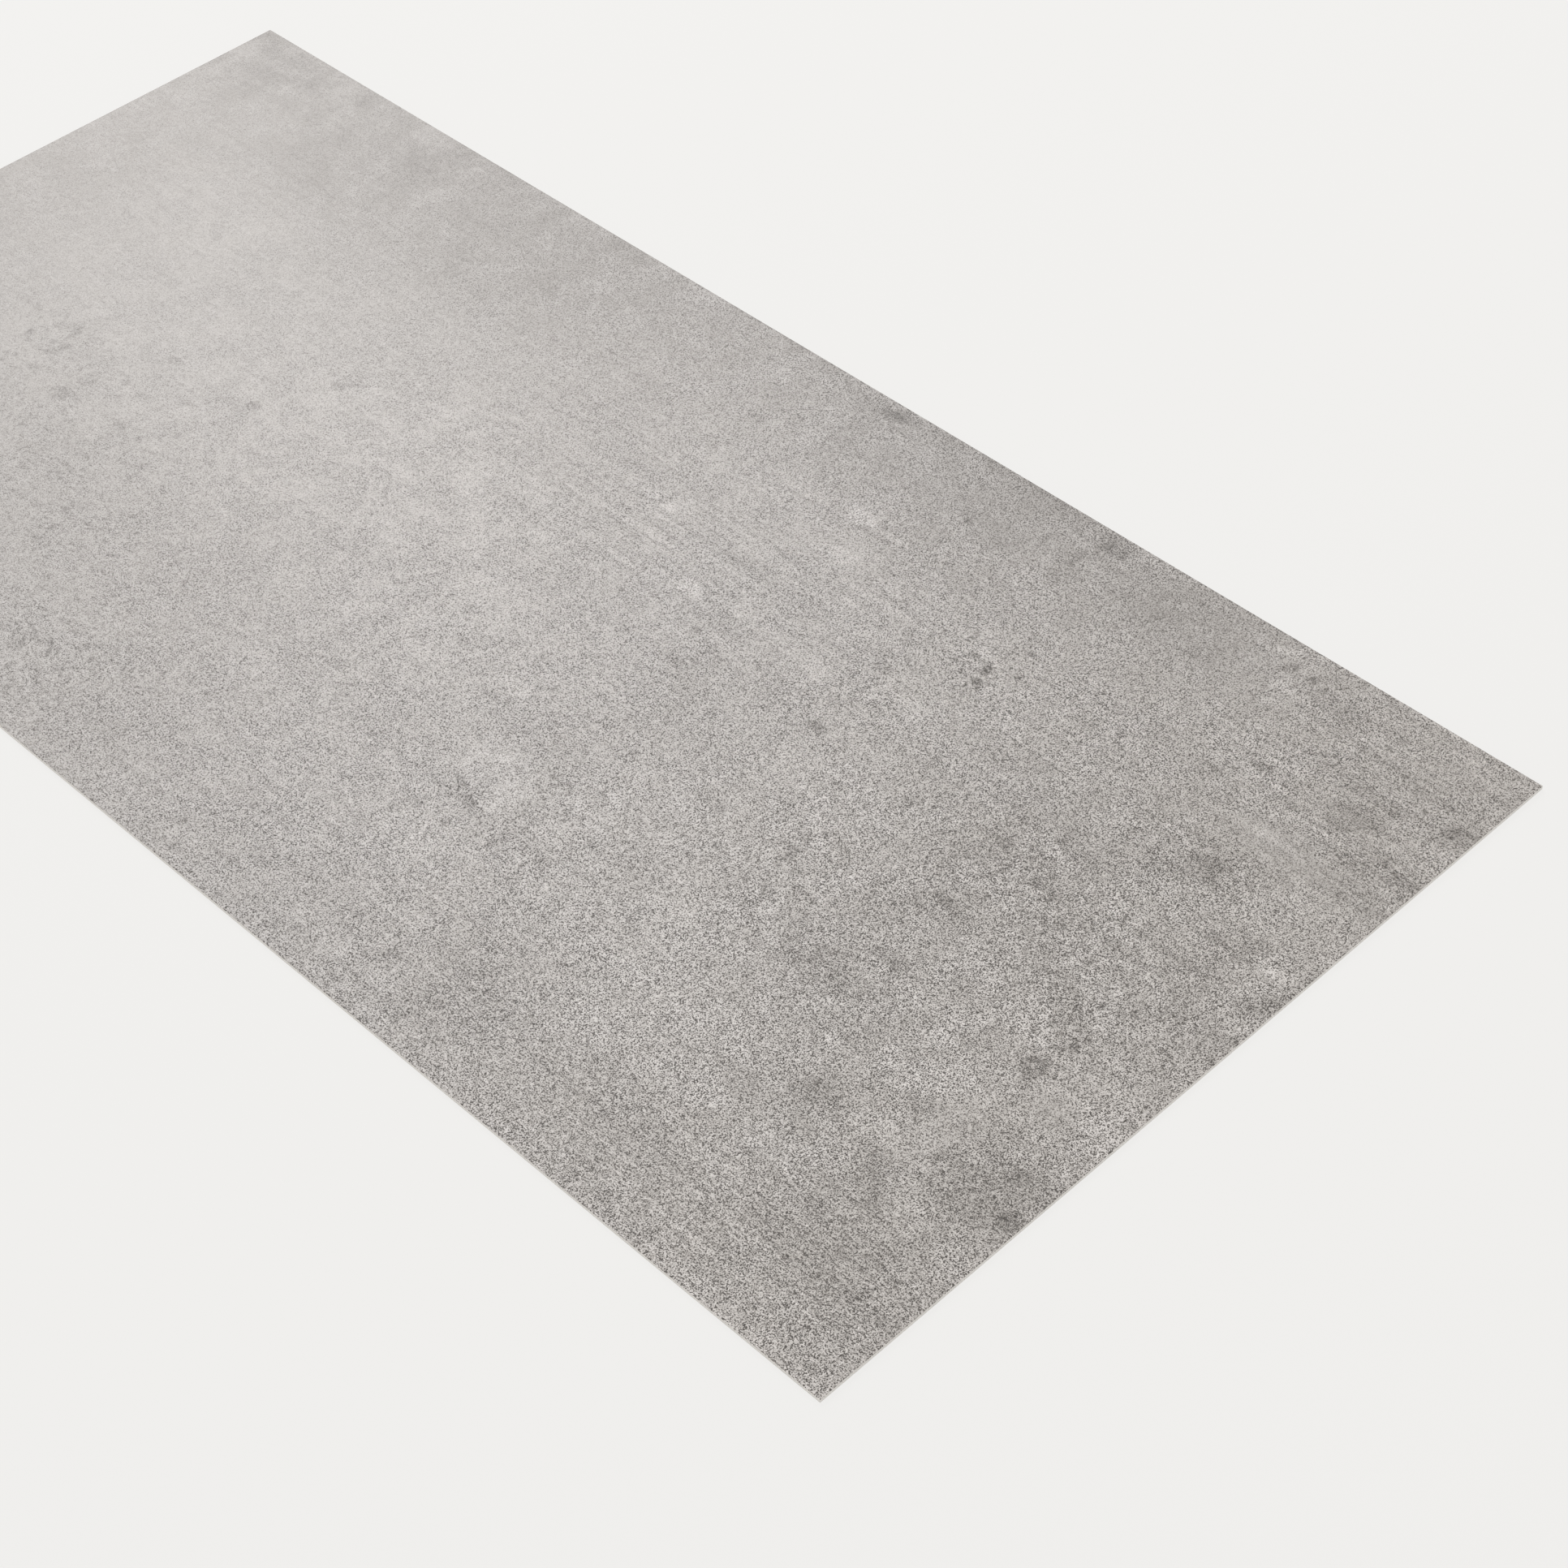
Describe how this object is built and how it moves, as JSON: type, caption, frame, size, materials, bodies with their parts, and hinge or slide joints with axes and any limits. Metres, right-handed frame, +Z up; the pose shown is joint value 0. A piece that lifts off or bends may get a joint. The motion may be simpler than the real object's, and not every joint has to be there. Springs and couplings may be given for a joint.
{
  "type": "luxury vinyl floor tile",
  "caption": "Thin rectangular glue-down vinyl floor tile with square-cut edges and a matte, finely textured light grey concrete print on its wear face.",
  "frame": {"origin": "centre of the tile's back, on the subfloor", "axes": "+X along the long side, +Y along the short side, +Z up out of the wear face"},
  "size_m": [0.9144, 0.4572, 0.002],
  "materials": {
    "printed_vinyl": "matte"
  },
  "bodies": {
    "root": {"vinyl_tile": "printed_vinyl"}
  },
  "joints": []
}
